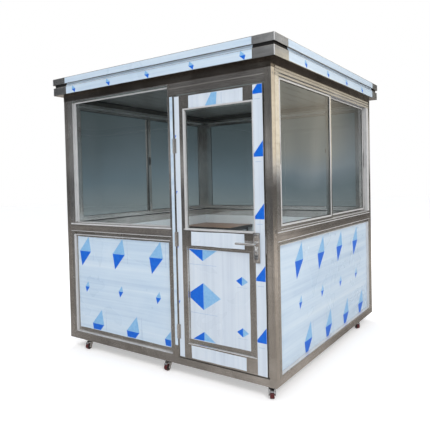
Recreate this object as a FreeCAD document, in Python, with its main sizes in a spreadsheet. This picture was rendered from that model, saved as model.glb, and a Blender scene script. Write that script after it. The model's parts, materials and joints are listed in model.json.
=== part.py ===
"""Guard booth of stainless steel on swivel casters: 2.0 m wide, 2.03 m deep, 2.29 m tall.

Lengths are millimetres. The origin is on the ground under the middle of the booth:
+X points to the wall beside the door, +Y from the door wall to the back wall, +Z up.
Every size is a cell of the Sizes sheet, and the sub-parts are bound to those cells.
"""
import FreeCAD, Part
import os
import re
import Sketcher

doc = FreeCAD.newDocument("guard_booth")
sheet = doc.addObject("Spreadsheet::Sheet", "Sizes")

SIZES = {
    # whole booth
    "frame_width": 2000,
    "frame_depth": 2030,
    "caster_height": 75,
    "wall": 50,
    # heights above the underside of the base frame
    "base_height": 50,
    "sill_low": 925,
    "sill_high": 985,
    "header_low": 1940,
    "header_step": 1987,
    "head_low": 2026,
    "head_high": 2076,
    "eaves_high": 2140,
    "recess_high": 2163,
    "roof_high": 2215,
    # roof bands, measured out from the wall face
    "upper_overhang": 60,
    "lower_overhang": 57,
    "recess_overhang": 44,
    # base frame and posts
    "base_bar": 60,
    "post": 50,
    "post_round": 3,
    # lower panels
    "panel_lip": 30,
    "door_side_lip": 15,
    "panel_toe": 12,
    "panel_recess": 25,
    # front fixed window
    "front_jamb": 56,
    "front_trim": 8,
    "glass_thick": 6,
    "front_glass_set": 38,
    # sliding windows
    "track_side": 54,
    "track_low": 12,
    "track_high": 20,
    "sash_bar": 36,
    "sash_thick": 17,
    "sash_overlap": 40,
    "sash_gap": 2,
    "outer_track": 10,
    "inner_track": 31,
    # doorway
    "door_post_left": 1165,
    "door_post_right": 1205,
    "header_set": 6,
    # door leaf
    "leaf_left": 1210,
    "leaf_right": 1937,
    "leaf_low": 57,
    "leaf_high": 1932,
    "leaf_set": 2,
    "leaf_thick": 40,
    "hinge_stile": 90,
    "lock_stile": 76,
    "top_rail": 110,
    "light_low": 984,
    "middle_low": 866,
    "bottom_high": 165,
    "leaf_panel": 14,
    "leaf_panel_set": 14,
    # hinges
    "hinge_line": 1209,
    "hinge_out": 5,
    "knuckle": 6,
    "knuckle_length": 104,
    "hinge_first": 190,
    "hinge_pitch": 668,
    "hinge_leaf": 2,
    "hinge_leaf_wide": 22,
    # lock
    "lock_axis": 1876,
    "lock_height": 914,
    "plate_width": 50,
    "plate_thick": 8,
    "plate_below": 124,
    "plate_above": 70,
    "spindle": 9,
    "spindle_room": 0.5,
    "lever_length": 128,
    "lever_stand": 44,
    "lever_bar": 8,
    # desk
    "desk_length": 640,
    "desk_depth": 476,
    "desk_high": 825,
    "desk_thick": 25,
    "desk_gap": 2,
    "bracket_thick": 4,
    "bracket_reach": 380,
    "bracket_drop": 230,
    "bracket_bar": 30,
    "bracket_inset": 60,
    # casters
    "mount_length": 62,
    "mount_width": 56,
    "mount_thick": 3,
    "race": 20,
    "race_thick": 6,
    "swivel_gap": 0.6,
    "fork_head": 5,
    "fork_width": 42,
    "leg_thick": 3,
    "leg_wide": 30,
    "trail": 20,
    "eye": 9,
    "wheel": 25,
    "wheel_width": 28,
    "tread_round": 3,
    "axle": 4,
    "axle_room": 0.4,
    # caster places on the base frame, from its front left corner
    "caster_left": 215,
    "caster_middle": 1085,
    "caster_right": 1948,
    "caster_front": 32,
    "caster_back": 1690,
    # degrees that each caster is turned from +X at rest
    "heading_straight": -90,
    "heading_near": -60,
    "heading_back": -35,
}

for row, (alias, value) in enumerate(SIZES.items(), start=1):
    sheet.set("A%d" % row, alias)
    sheet.set("B%d" % row, str(value))
    sheet.setAlias("B%d" % row, alias)
doc.recompute()

ALIASES = re.compile(r"\b(" + "|".join(SIZES) + r")\b")
UPRIGHT = FreeCAD.Rotation(FreeCAD.Vector(1, 0, 0), 90)
FLAT = FreeCAD.Rotation()

# Each wall's turn about Z, its length, and where a point of the wall stands: "along" runs
# from the wall's left end as seen from outside, "inward" from its outer face.
WALLS = {
    "front": (0, "frame_width", "-frame_width/2 + (along)", "-frame_depth/2 + (inward)"),
    "right": (90, "frame_depth", "frame_width/2 - (inward)", "-frame_depth/2 + (along)"),
    "back": (180, "frame_width", "frame_width/2 - (along)", "frame_depth/2 - (inward)"),
    "left": (270, "frame_depth", "-frame_width/2 + (inward)", "frame_depth/2 - (along)"),
}
SLIDING_SIDES = ("right", "back", "left")

subparts = []


def bind(obj, prop, expression):
    """Bind one property of an object to an expression over the sheet's sizes."""
    obj.setExpression(prop, ALIASES.sub(r"Sizes.\1", str(expression)))


def bind_sizes(obj, **sizes):
    """Bind several properties of one object."""
    for prop, expression in sizes.items():
        bind(obj, prop, expression)


def place(obj, x, y, z, rotation=FLAT):
    """Turn an object, and bind where its own origin stands."""
    obj.Placement = FreeCAD.Placement(FreeCAD.Vector(), rotation)
    bind(obj, "Placement.Base.x", x)
    bind(obj, "Placement.Base.y", y)
    bind(obj, "Placement.Base.z", z)
    return obj


def stand_on_frame(obj, x, y, height, rotation=FLAT):
    """Place an object from the base frame's front left corner and underside."""
    return place(obj, "-frame_width/2 + (%s)" % x, "-frame_depth/2 + (%s)" % y,
                 "caster_height + (%s)" % height, rotation)


def stand_on_wall(obj, side, along, inward, height, tilt=FLAT):
    """Place an object in the axes of one wall."""
    turn, _, wall_x, wall_y = WALLS[side]
    x = wall_x.replace("along", along).replace("inward", inward)
    y = wall_y.replace("along", along).replace("inward", inward)
    rotation = FreeCAD.Rotation(FreeCAD.Vector(0, 0, 1), turn) * tilt
    return place(obj, x, y, "caster_height + (%s)" % height, rotation)


def subpart(obj, label):
    """Name an object as one of the booth's pieces."""
    obj.Label = label
    subparts.append(obj)
    return obj


def box(name, length, width, height):
    """A box with bound sizes."""
    obj = doc.addObject("Part::Box", name)
    bind_sizes(obj, Length=length, Width=width, Height=height)
    return obj


def cylinder(name, radius, height):
    """A cylinder with bound sizes, along its own Z."""
    obj = doc.addObject("Part::Cylinder", name)
    bind_sizes(obj, Radius=radius, Height=height)
    return obj


def cut(name, base, tool):
    """One shape less another."""
    obj = doc.addObject("Part::Cut", name)
    obj.Base = base
    obj.Tool = tool
    return obj


def fuse(name, shapes):
    """Several shapes joined in one solid."""
    obj = doc.addObject("Part::MultiFuse", name)
    obj.Shapes = shapes
    obj.Refine = True
    return obj


def group(name, shapes):
    """Like pieces that don't touch, kept as one sub-part."""
    obj = doc.addObject("Part::Compound", name)
    obj.Links = shapes
    return obj


def new_body(name):
    """A PartDesign body and a finder for its origin planes."""
    body = doc.addObject("PartDesign::Body", name)
    planes = {feature.Role: feature for feature in body.Origin.OriginFeatures}
    return body, planes


def new_sketch(body, plane, name):
    """A sketch on one of the body's own origin planes."""
    sketch = body.newObject("Sketcher::SketchObject", name)
    sketch.AttachmentSupport = [(plane, "")]
    sketch.MapMode = "FlatFace"
    return sketch


def limit(sketch, name, kind, ends, expression):
    """One named dimension of a sketch, bound to the sheet."""
    index = sketch.addConstraint(Sketcher.Constraint(kind, *ends, 10.0))
    sketch.renameConstraint(index, name)
    bind(sketch, "Constraints." + name, expression)


def rectangle(sketch, name, x, y, width, height):
    """A bound rectangle in a sketch; an x or y of None lies on the sketch's axis."""
    first = sketch.GeometryCount
    corners = [(10, 10), (20, 10), (20, 20), (10, 20)]
    points = [FreeCAD.Vector(u, v, 0) for u, v in corners]
    for index in range(4):
        sketch.addGeometry(Part.LineSegment(points[index], points[(index + 1) % 4]))
    for index in range(4):
        follower = first + (index + 1) % 4
        sketch.addConstraint(Sketcher.Constraint("Coincident", first + index, 2, follower, 1))
    for index, direction in enumerate(("Horizontal", "Vertical", "Horizontal", "Vertical")):
        sketch.addConstraint(Sketcher.Constraint(direction, first + index))
    if x is None:
        sketch.addConstraint(Sketcher.Constraint("PointOnObject", first, 1, -2))
    else:
        limit(sketch, name + "_x", "DistanceX", (-1, 1, first, 1), x)
    if y is None:
        sketch.addConstraint(Sketcher.Constraint("PointOnObject", first, 1, -1))
    else:
        limit(sketch, name + "_y", "DistanceY", (-1, 1, first, 1), y)
    limit(sketch, name + "_width", "DistanceX", (first, 1, first, 2), width)
    limit(sketch, name + "_height", "DistanceY", (first + 1, 1, first + 1, 2), height)


def pad(body, sketch, length):
    """Extrude a sketch along its normal."""
    feature = body.newObject("PartDesign::Pad", body.Name + "_pad")
    feature.Profile = sketch
    bind(feature, "Length", length)
    sketch.Visibility = False
    return feature


def slab(name, width, height, thickness, openings=()):
    """A padded rectangle with rectangular openings; each is (x, y, width, height)."""
    body, planes = new_body(name)
    outline = new_sketch(body, planes["XY_Plane"], name + "_outline")
    rectangle(outline, "outer", None, None, width, height)
    for index, opening in enumerate(openings):
        rectangle(outline, "opening%d" % index, *opening)
    pad(body, outline, thickness)
    return body


def vertical_edges(shape):
    """Names of a shape's straight edges that run along Z."""
    names = []
    for index, edge in enumerate(shape.Edges, start=1):
        first, last = edge.Vertexes[0].Point, edge.Vertexes[-1].Point
        if abs(first.x - last.x) + abs(first.y - last.y) < 1e-6:
            names.append("Edge%d" % index)
    return names


def round_edges(body, base, edges, radius):
    """A fillet on named edges of a body's feature."""
    fillet = body.newObject("PartDesign::Fillet", body.Name + "_fillet")
    fillet.Base = (base, edges)
    bind(fillet, "Radius", radius)
    return fillet


def rounded_bar(name, width, depth, height):
    """An upright bar of square tube with rounded edges."""
    body, planes = new_body(name)
    outline = new_sketch(body, planes["XY_Plane"], name + "_outline")
    rectangle(outline, "outer", None, None, width, depth)
    bar = pad(body, outline, height)
    doc.recompute()
    round_edges(body, bar, vertical_edges(bar.Shape), "post_round")
    return body


# ---------------------------------------------------------------- base and frame

def make_base():
    """The ring of bars under the walls, and the floor that fills it."""
    outer = box("base_outer", "frame_width", "frame_depth", "base_height")
    inner = box("base_inner", "frame_width - 2*base_bar", "frame_depth - 2*base_bar", "base_height")
    place(inner, "base_bar", "base_bar", "0")
    subpart(stand_on_frame(cut("base_ring", outer, inner), "0", "0", "0"), "base_frame")
    floor = box("floor", "frame_width - 2*base_bar", "frame_depth - 2*base_bar", "base_height")
    subpart(stand_on_frame(floor, "base_bar", "base_bar", "0"), "floor_deck")


def make_posts():
    """Four corner posts, and the post between the window and the door."""
    corners = {
        "front_left_post": ("0", "0"),
        "front_right_post": ("frame_width - post", "0"),
        "back_left_post": ("0", "frame_depth - post"),
        "back_right_post": ("frame_width - post", "frame_depth - post"),
    }
    for label, (x, y) in corners.items():
        post = rounded_bar(label, "post", "post", "head_low - base_height")
        subpart(stand_on_frame(post, x, y, "base_height"), label)
    door_post = rounded_bar("door_post", "door_post_right - door_post_left", "wall",
                            "header_low - base_height")
    subpart(stand_on_frame(door_post, "door_post_left", "0", "base_height"), "door_post")


def make_head():
    """The ring of bars over the windows, and the stepped header over the door."""
    outer = box("head_outer", "frame_width", "frame_depth", "head_high - head_low")
    inner = box("head_inner", "frame_width - 2*wall", "frame_depth - 2*wall", "head_high - head_low")
    place(inner, "wall", "wall", "0")
    subpart(stand_on_frame(cut("head_ring", outer, inner), "0", "0", "head_low"), "head_frame")
    width = "frame_width - post - door_post_left"
    bar = box("header_bar", width, "wall", "head_low - header_low")
    step = box("header_cut", width, "header_set", "head_low - header_step")
    place(step, "0", "0", "header_step - header_low")
    header = cut("header", bar, step)
    subpart(stand_on_frame(header, "door_post_left", "0", "header_low"), "door_header")


def make_roof():
    """The eaves band, which is also the ceiling, and the upper band on its recess."""
    def band(name, overhang, thickness):
        return box(name, "frame_width + 2*%s" % overhang, "frame_depth + 2*%s" % overhang, thickness)

    eaves = band("eaves", "lower_overhang", "eaves_high - head_high")
    stand_on_frame(eaves, "-lower_overhang", "-lower_overhang", "head_high")
    subpart(eaves, "eaves_band")
    recess = band("roof_recess", "recess_overhang", "recess_high - eaves_high")
    stand_on_frame(recess, "-recess_overhang", "-recess_overhang", "eaves_high")
    upper = band("roof_upper", "upper_overhang", "roof_high - recess_high")
    stand_on_frame(upper, "-upper_overhang", "-upper_overhang", "recess_high")
    subpart(fuse("roof", [recess, upper]), "roof_panel")


# ---------------------------------------------------------------- walls

def lower_panel(side, end, right_lip):
    """A sheet recessed in its frame, from the base to the sill, between two posts."""
    width = "%s - post" % end
    height = "sill_low - base_height"
    body = slab(side + "_panel", width, height, "wall")
    planes = {feature.Role: feature for feature in body.Origin.OriginFeatures}
    outline = new_sketch(body, planes["XY_Plane"], side + "_recess_outline")
    bind(outline, "AttachmentOffset.Base.z", "wall")
    rectangle(outline, "recess", "panel_lip", "panel_toe",
              "(%s) - panel_lip - %s" % (width, right_lip), "(%s) - panel_toe" % height)
    recess = body.newObject("PartDesign::Pocket", side + "_recess")
    recess.Profile = outline
    bind(recess, "Length", "panel_recess")
    stand_on_wall(body, side, "post", "wall", "base_height", UPRIGHT)
    subpart(body, side + "_lower_panel")


def sill_rail(side, end):
    """The bar between the lower panel and the window."""
    bar = box(side + "_sill", "%s - post" % end, "wall", "sill_high - sill_low")
    subpart(stand_on_wall(bar, side, "post", "0", "sill_low"), side + "_sill_rail")


def make_front_window():
    """The fixed window: a frame that is wide beside the corner post, and one pane."""
    width = "(door_post_left - post)"
    height = "(head_low - sill_high)"
    light_width = width + " - front_jamb - front_trim"
    light_height = height + " - 2*front_trim"
    opening = ("front_jamb", "front_trim", light_width, light_height)
    frame = slab("front_window", width, height, "wall", [opening])
    stand_on_wall(frame, "front", "post", "wall", "sill_high", UPRIGHT)
    subpart(frame, "front_window_frame")
    glass = box("front_glass", light_width, "glass_thick", light_height)
    stand_on_wall(glass, "front", "post + front_jamb", "front_glass_set", "sill_high + front_trim")
    subpart(glass, "front_window_glass")


def make_sliding_window(side):
    """A track frame with two sashes that pass each other, and their panes."""
    length = WALLS[side][1]
    width = "(%s - 2*post)" % length
    height = "(head_low - sill_high)"
    light_width = "(%s - 2*track_side)" % width
    light_height = "(%s - track_low - track_high)" % height
    frame = slab(side + "_track", width, height, "wall",
                 [("track_side", "track_low", light_width, light_height)])
    stand_on_wall(frame, side, "post", "wall", "sill_high", UPRIGHT)
    subpart(frame, side + "_window_frame")

    sash_width = "((%s + sash_overlap)/2)" % light_width
    sash_height = "(%s - sash_gap)" % light_height
    pane_width = sash_width + " - 2*sash_bar"
    pane_height = sash_height + " - 2*sash_bar"
    places = {
        "outer": ("post + track_side", "outer_track"),
        "inner": ("post + track_side + %s - %s" % (light_width, sash_width), "inner_track"),
    }
    sashes = []
    panes = []
    for track, (along, inward) in places.items():
        name = "%s_%s" % (side, track)
        sash = slab(name + "_sash", sash_width, sash_height, "sash_thick",
                    [("sash_bar", "sash_bar", pane_width, pane_height)])
        base = "sill_high + track_low"
        stand_on_wall(sash, side, along, "%s + sash_thick" % inward, base, UPRIGHT)
        pane = box(name + "_pane", pane_width, "glass_thick", pane_height)
        stand_on_wall(pane, side, along + " + sash_bar", "%s + (sash_thick - glass_thick)/2" % inward,
                      base + " + sash_bar")
        sashes.append(sash)
        panes.append(pane)
    subpart(group(side + "_sashes", sashes), side + "_window_sashes")
    subpart(group(side + "_panes", panes), side + "_window_glass")


def make_walls():
    """Lower panels, sill rails and windows on all four sides."""
    lower_panel("front", "door_post_left", "door_side_lip")
    sill_rail("front", "door_post_left")
    make_front_window()
    for side in SLIDING_SIDES:
        end = WALLS[side][1] + " - post"
        lower_panel(side, end, "panel_lip")
        sill_rail(side, end)
        make_sliding_window(side)


# ---------------------------------------------------------------- door

def make_door_leaf():
    """Stiles and rails in one welded frame, with the pane above and the panel below."""
    width = "(leaf_right - leaf_left)"
    inner_width = width + " - hinge_stile - lock_stile"
    light = ("hinge_stile", "light_low - leaf_low", inner_width, "leaf_high - top_rail - light_low")
    lower = ("hinge_stile", "bottom_high - leaf_low", inner_width, "middle_low - bottom_high")
    leaf = slab("leaf", width, "leaf_high - leaf_low", "leaf_thick", [light, lower])
    stand_on_wall(leaf, "front", "leaf_left", "leaf_set + leaf_thick", "leaf_low", UPRIGHT)
    spindle_hole = cylinder("spindle_hole", "spindle + spindle_room", "leaf_thick + 20")
    stand_on_wall(spindle_hole, "front", "lock_axis", "leaf_set + leaf_thick + 10", "lock_height", UPRIGHT)
    subpart(cut("leaf_bored", leaf, spindle_hole), "door_frame")

    pane = box("door_pane", inner_width, "glass_thick", light[3])
    stand_on_wall(pane, "front", "leaf_left + hinge_stile",
                  "leaf_set + (leaf_thick - glass_thick)/2", "light_low")
    subpart(pane, "door_glass")
    panel = box("door_sheet", inner_width, "leaf_panel", lower[3])
    stand_on_wall(panel, "front", "leaf_left + hinge_stile", "leaf_set + leaf_panel_set", "bottom_high")
    subpart(panel, "door_lower_panel")


def make_hinges():
    """Three butt hinges on the door's edge, their knuckles standing out of the gap."""
    hinges = []
    for index in range(3):
        height = "hinge_first + %d*hinge_pitch" % index
        barrel = cylinder("knuckle%d" % index, "knuckle", "knuckle_length")
        stand_on_frame(barrel, "hinge_line", "-hinge_out", height)
        flap = box("hinge_leaf%d" % index, "hinge_leaf_wide", "hinge_leaf", "knuckle_length")
        stand_on_frame(flap, "hinge_line", "leaf_set - hinge_leaf", height)
        hinges.append(fuse("hinge%d" % index, [barrel, flap]))
    subpart(group("hinges", hinges), "door_hinges")


def make_lock():
    """A long plate on each face of the lock stile, and the levers on one spindle."""
    plates = []
    faces = {"outside": "leaf_set - plate_thick", "inside": "leaf_set + leaf_thick"}
    for face, inward in faces.items():
        plate = box(face + "_plate", "plate_width", "plate_thick", "plate_below + plate_above")
        stand_on_frame(plate, "lock_axis - plate_width/2", inward, "lock_height - plate_below")
        hole = cylinder(face + "_hole", "spindle + spindle_room", "plate_thick + 20")
        stand_on_frame(hole, "lock_axis", inward + " + plate_thick + 10", "lock_height", UPRIGHT)
        plates.append(cut(face + "_lock_plate", plate, hole))
    subpart(group("lock_plates", plates), "door_lock_plates")

    reach = "(leaf_thick + 2*plate_thick + 2*lever_stand)"
    back = "leaf_set + leaf_thick + plate_thick + lever_stand"
    spindle = cylinder("spindle_bar", "spindle", reach)
    stand_on_frame(spindle, "lock_axis", back, "lock_height", UPRIGHT)
    pieces = [spindle]
    along_wall = FreeCAD.Rotation(FreeCAD.Vector(0, 1, 0), -90)
    for face, inward in {"outside": "leaf_set - plate_thick - lever_stand", "inside": back}.items():
        bar = cylinder(face + "_lever", "lever_bar", "lever_length")
        stand_on_frame(bar, "lock_axis", inward, "lock_height", along_wall)
        pieces.append(bar)
        for end, along in {"elbow": "lock_axis", "tip": "lock_axis - lever_length"}.items():
            knob = doc.addObject("Part::Sphere", "%s_%s" % (face, end))
            bind(knob, "Radius", "lever_bar" if end == "tip" else "spindle")
            pieces.append(stand_on_frame(knob, along, inward, "lock_height"))
    subpart(fuse("levers", pieces), "door_lever")


# ---------------------------------------------------------------- desk

def make_desk():
    """A board along the back wall in the left corner, on two steel brackets."""
    left = "wall + desk_gap"
    front = "frame_depth - wall - desk_gap - desk_depth"
    board = box("desk_board", "desk_length", "desk_depth", "desk_thick")
    stand_on_frame(board, left, front, "desk_high - desk_thick")
    subpart(board, "desk_top")
    brackets = []
    under = "desk_high - desk_thick"
    insets = ("bracket_inset", "desk_length - bracket_inset - bracket_thick")
    for index, inset in enumerate(insets):
        along = "%s + %s" % (left, inset)
        arm = box("bracket_arm%d" % index, "bracket_thick", "bracket_reach", "bracket_bar")
        stand_on_frame(arm, along, "frame_depth - wall - bracket_reach", under + " - bracket_bar")
        leg = box("bracket_leg%d" % index, "bracket_thick", "bracket_bar", "bracket_drop")
        stand_on_frame(leg, along, "frame_depth - wall - bracket_bar", under + " - bracket_drop")
        brackets.append(fuse("bracket%d" % index, [arm, leg]))
    subpart(group("brackets", brackets), "desk_brackets")


# ---------------------------------------------------------------- casters

CASTERS = {
    "front_left": ("caster_left", "caster_front", "heading_straight"),
    "front_middle": ("caster_middle", "caster_front", "heading_straight"),
    "front_right": ("caster_right", "caster_front", "heading_near"),
    "back_left": ("caster_left", "caster_back", "heading_straight"),
    "back_middle": ("caster_middle", "caster_back", "heading_straight"),
    "back_right": ("caster_right", "caster_back", "heading_back"),
}


def caster_mount(name, x, y):
    """The plate screwed under the base frame, with the upper half of the swivel race."""
    plate = box(name + "_plate", "mount_length", "mount_width", "mount_thick")
    stand_on_frame(plate, "%s - mount_length/2" % x, "%s - mount_width/2" % y, "-mount_thick")
    cup = cylinder(name + "_cup", "race", "race_thick")
    stand_on_frame(cup, x, y, "-mount_thick - race_thick")
    return fuse(name + "_mount", [plate, cup])


def turned(heading, tilt=FLAT):
    """A rotation by one of the sheet's headings, after a tilt."""
    return FreeCAD.Rotation(FreeCAD.Vector(0, 0, 1), SIZES[heading]) * tilt


def caster_fork(name, x, y, heading):
    """The swivelling head, two raked legs and the axle between their eyes."""
    head_top = "caster_height - mount_thick - race_thick - swivel_gap"
    leg_top = "(%s - fork_head/2)" % head_top
    head = cylinder(name + "_head", "race + 1", "fork_head")
    place(head, "0", "0", head_top + " - fork_head")
    pieces = [head]
    for index, leg_y in enumerate(("leg_thick - fork_width/2", "fork_width/2")):
        leg = doc.addObject("Part::Wedge", "%s_leg%d" % (name, index))
        bind_sizes(leg, Xmin="trail - eye", Xmax="trail + eye", Ymin="0", Ymax="%s - wheel" % leg_top,
                   Zmin="0", Zmax="leg_thick", X2min="-leg_wide/2", X2max="leg_wide/2",
                   Z2min="0", Z2max="leg_thick")
        eye = cylinder("%s_eye%d" % (name, index), "eye", "leg_thick")
        pieces.append(place(leg, "0", leg_y, "wheel", UPRIGHT))
        pieces.append(place(eye, "trail", leg_y, "wheel", UPRIGHT))
    pin = cylinder(name + "_axle", "axle", "fork_width")
    pieces.append(place(pin, "trail", "fork_width/2", "wheel", UPRIGHT))
    fork = fuse(name + "_fork_solid", pieces)
    return stand_on_frame(fork, x, y, "-caster_height", turned(heading))


def caster_wheel(name, x, y, heading):
    """A solid wheel with a rounded tread, bored for the axle."""
    body, planes = new_body(name + "_wheel_body")
    outline = new_sketch(body, planes["XY_Plane"], name + "_wheel_outline")
    for label, radius in {"rim": "wheel", "bore": "axle + axle_room"}.items():
        circle = outline.addGeometry(Part.Circle(FreeCAD.Vector(), FreeCAD.Vector(0, 0, 1), 5))
        outline.addConstraint(Sketcher.Constraint("Coincident", circle, 3, -1, 1))
        limit(outline, label, "Radius", (circle,), radius)
    disc = pad(body, outline, "wheel_width")
    disc.SideType = "Symmetric"
    doc.recompute()
    rims = ["Edge%d" % (index + 1) for index, edge in enumerate(disc.Shape.Edges)
            if edge.Curve.TypeId == "Part::GeomCircle" and edge.Curve.Radius > SIZES["wheel"] - 1]
    round_edges(body, disc, rims, "tread_round")
    return stand_on_frame(body, "%s + trail*cos(%s*1deg)" % (x, heading),
                          "%s + trail*sin(%s*1deg)" % (y, heading),
                          "wheel - caster_height", turned(heading, UPRIGHT))


def make_casters():
    """Six swivel casters under the front and back of the base frame."""
    mounts = [caster_mount(name, x, y) for name, (x, y, heading) in CASTERS.items()]
    subpart(group("mounts", mounts), "caster_plates")
    for name, spot in CASTERS.items():
        subpart(caster_fork(name, *spot), name + "_caster_fork")
        subpart(caster_wheel(name, *spot), name + "_caster_wheel")


# ---------------------------------------------------------------- build, check, write

def check_document():
    """Stop if any object failed or any sub-part has no valid solid."""
    doc.recompute()
    failed = [obj.Name for obj in doc.Objects if {"Invalid", "Error"} & set(obj.State)]
    if failed:
        raise RuntimeError("failed objects: %s" % failed)
    for obj in subparts:
        if obj.Shape.isNull() or not obj.Shape.isValid() or not obj.Shape.Solids:
            raise RuntimeError("no valid solid: " + obj.Label)


def write_steps():
    """Write each sub-part to a file named after its label."""
    os.makedirs("parts", exist_ok=True)
    for obj in subparts:
        obj.Shape.exportStep("parts/%s.step" % obj.Label)
    volume = sum(obj.Shape.Volume for obj in subparts) / 1e9
    print("%d sub-parts, %.3f cubic metres of solid" % (len(subparts), volume))


make_base()
make_posts()
make_head()
make_walls()
make_door_leaf()
make_hinges()
make_lock()
make_desk()
make_roof()
make_casters()
check_document()
write_steps()
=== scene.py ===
"""Looks of the guard booth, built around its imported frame.

Lengths are metres in the frame's own axes, or millimetres in the axes of a wall.
"""

import json
import math
import random

import bmesh
import bpy
from mathutils import Matrix, Vector
from mathutils.geometry import delaunay_2d_cdt

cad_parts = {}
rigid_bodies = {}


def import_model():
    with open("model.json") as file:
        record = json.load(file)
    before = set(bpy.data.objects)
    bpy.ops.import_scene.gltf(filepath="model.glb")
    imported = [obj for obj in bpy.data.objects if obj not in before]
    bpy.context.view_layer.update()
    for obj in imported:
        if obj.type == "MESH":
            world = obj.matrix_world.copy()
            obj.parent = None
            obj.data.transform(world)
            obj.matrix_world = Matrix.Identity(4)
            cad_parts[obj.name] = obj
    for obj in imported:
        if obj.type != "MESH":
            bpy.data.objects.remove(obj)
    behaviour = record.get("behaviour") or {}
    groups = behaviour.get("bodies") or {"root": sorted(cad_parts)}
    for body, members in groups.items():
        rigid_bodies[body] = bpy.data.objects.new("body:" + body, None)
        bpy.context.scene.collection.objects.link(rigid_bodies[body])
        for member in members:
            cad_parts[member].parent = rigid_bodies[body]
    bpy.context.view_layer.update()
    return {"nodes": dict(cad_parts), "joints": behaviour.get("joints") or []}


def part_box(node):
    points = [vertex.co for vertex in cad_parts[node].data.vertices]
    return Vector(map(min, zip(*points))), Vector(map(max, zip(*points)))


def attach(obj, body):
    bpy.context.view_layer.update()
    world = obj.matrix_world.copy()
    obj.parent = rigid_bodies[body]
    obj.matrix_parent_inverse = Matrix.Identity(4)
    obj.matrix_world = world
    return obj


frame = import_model()
nodes = frame["nodes"]
rng = random.Random(7)

MM = 0.001
UP = Vector((0, 0, 1))
HALF_WIDTH = 1.0
HALF_DEPTH = 1.015
GROUND = 0.075


# -------- walls
def wall_axes(along, out, corner):
    """A wall's axes: along it from its left end as seen from outside, up from the underside of
    the base frame, and out from its face.
    """
    turn = Matrix((along, UP, out)).transposed().to_4x4()
    return Matrix.Translation((*corner, GROUND)) @ turn


WALLS = {
    "front": wall_axes((1, 0, 0), (0, -1, 0), (-HALF_WIDTH, -HALF_DEPTH)),
    "right": wall_axes((0, 1, 0), (1, 0, 0), (HALF_WIDTH, -HALF_DEPTH)),
    "back": wall_axes((-1, 0, 0), (0, 1, 0), (HALF_WIDTH, HALF_DEPTH)),
    "left": wall_axes((0, -1, 0), (-1, 0, 0), (-HALF_WIDTH, HALF_DEPTH)),
}
WALL_LENGTH = {"front": 2000, "right": 2030, "back": 2000, "left": 2030}
WINDOW_WALLS = ("right", "back", "left")

# How far out the faces lie of the lower panels' sheets, the door leaf and the roof bands.
SHEET_OUT = -25
LEAF_OUT = -2
BAND_OUT = {"lower": 57, "upper": 60}

PANEL_SIDE, PANEL_LOW, PANEL_HIGH = 84, 66, 892
DOOR_OPENING = (1308, 1853)
SILL_END = 53
HEADER_END = 54
LOCK_LINE = 1876
LEVER_HEIGHT = 914


def panel_area(wall):
    """Left, right, low and high edges of the lower panel under a sliding window."""
    return PANEL_SIDE, WALL_LENGTH[wall] - PANEL_SIDE, PANEL_LOW, PANEL_HIGH


def spot(wall, x, z, out):
    """A point of a wall in metres."""
    return WALLS[wall] @ Vector((x * MM, z * MM, out * MM))


def outward(wall):
    """The direction that a wall faces."""
    return (WALLS[wall].to_3x3() @ UP).normalized()


def front_out(node, side):
    """How far out on the front wall a node's near side (0) or far side (1) lies."""
    return -1000 * (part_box(node)[side].y + HALF_DEPTH)


# -------- camera
CAMERA_PLACE = (2.3828, -3.6428, 1.4009)
CAMERA_YAW, CAMERA_PITCH, CAMERA_ROLL = 34.52, 1.587, -1.287
CAMERA_SHIFT = (-0.0048, -0.05)
SENSOR_WIDTH = 36
LENS = 39.59


def make_camera():
    """Stands where the straight edges in the photo put its camera, with the same framing."""
    yaw, pitch, roll = (math.radians(a) for a in (CAMERA_YAW, CAMERA_PITCH, CAMERA_ROLL))
    flat = math.cos(pitch)
    ahead = Vector((-math.sin(yaw) * flat, math.cos(yaw) * flat, -math.sin(pitch)))
    level = Vector((math.cos(yaw), math.sin(yaw), 0))
    up = level.cross(ahead)
    right = math.cos(roll) * level + math.sin(roll) * up
    up = math.cos(roll) * up - math.sin(roll) * level
    data = bpy.data.cameras.new("camera")
    data.sensor_width = SENSOR_WIDTH
    data.lens = LENS
    data.shift_x, data.shift_y = CAMERA_SHIFT
    camera = bpy.data.objects.new("camera", data)
    turn = Matrix((right, up, -ahead)).transposed().to_4x4()
    camera.matrix_world = Matrix.Translation(CAMERA_PLACE) @ turn
    bpy.context.scene.collection.objects.link(camera)
    bpy.context.scene.camera = camera


# -------- materials
def set_stops(node, stops):
    """Gives a colour ramp its stops. A stop is (place, colour or grey)."""
    elements = node.color_ramp.elements
    while len(elements) < len(stops):
        elements.new(1.0)
    for element, (place, colour) in zip(elements, stops):
        element.position = place
        if not isinstance(colour, tuple):
            colour = (colour,) * 3
        element.color = (*colour, 1.0)


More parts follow.
